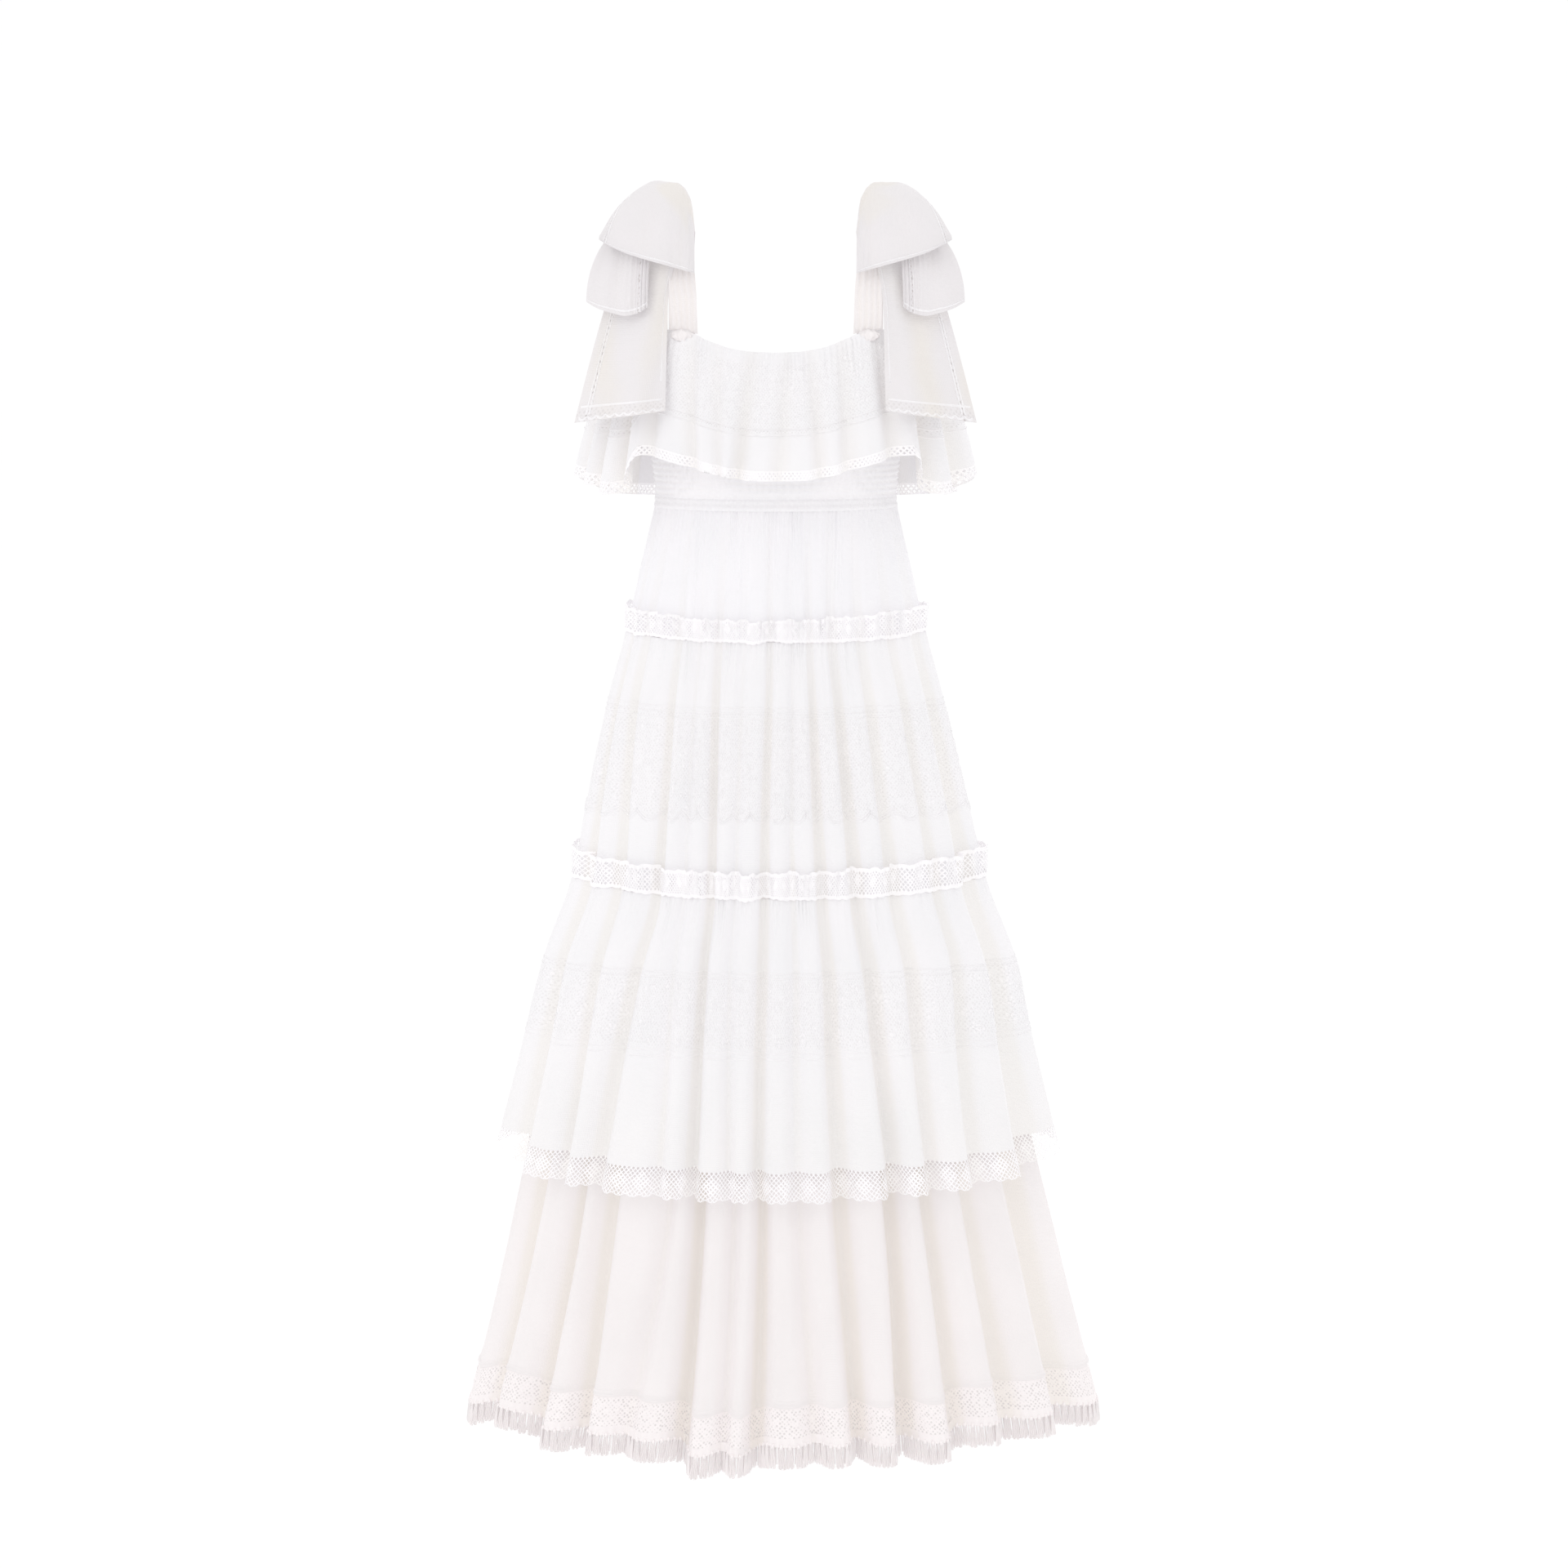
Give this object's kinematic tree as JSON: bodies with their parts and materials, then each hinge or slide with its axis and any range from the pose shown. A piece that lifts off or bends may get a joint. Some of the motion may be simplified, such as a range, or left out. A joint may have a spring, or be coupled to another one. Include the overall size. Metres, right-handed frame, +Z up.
{
  "type": "tiered maxi dress",
  "caption": "Long tiered dress in pale cotton and lace, with a shoulder flounce, bow-tied straps, smocked waist, gathered frills and a fringed hem, held open as when worn.",
  "frame": {"origin": "midway between the two straps where they cross the shoulders, at the level of the shoulder line", "axes": "+Z up towards the head, the front of the dress faces -Y, +X to the right as seen from the front"},
  "size_m": [0.7328, 0.452, 1.4295],
  "materials": {
    "cotton_voile": "matt sheer cotton voile",
    "cotton_lace": "matt cotton lace"
  },
  "bodies": {
    "root": {"bodice_front": "cotton_voile", "bodice_back": "cotton_voile", "waist_casing_front": "cotton_voile", "waist_casing_back": "cotton_voile", "flounce_front": "cotton_voile", "flounce_back": "cotton_voile", "flounce_hem_lace_front": "cotton_lace", "flounce_hem_lace_back": "cotton_lace", "tier_1_front": "cotton_voile", "tier_1_back": "cotton_voile", "frill_1_front": "cotton_lace", "frill_1_back": "cotton_lace", "tier_2_front": "cotton_voile", "tier_2_back": "cotton_voile", "frill_2_front": "cotton_lace", "frill_2_back": "cotton_lace", "tier_3_front": "cotton_voile", "tier_3_back": "cotton_voile", "tier_3_hem_lace_front": "cotton_lace", "tier_3_hem_lace_back": "cotton_lace", "tier_4_front": "cotton_voile", "tier_4_back": "cotton_voile", "tier_4_hem_lace_front": "cotton_lace", "tier_4_hem_lace_back": "cotton_lace", "fringe_front": "cotton_lace", "fringe_back": "cotton_lace", "strap_left": "cotton_voile", "strap_right": "cotton_voile", "upper_loop_left": "cotton_voile", "upper_loop_right": "cotton_voile", "lower_loop_left": "cotton_voile", "lower_loop_right": "cotton_voile", "tail_front_left": "cotton_voile", "tail_front_right": "cotton_voile", "tail_back_left": "cotton_voile", "tail_back_right": "cotton_voile", "bow_knot_left": "cotton_voile", "bow_knot_right": "cotton_voile"}
  },
  "joints": []
}
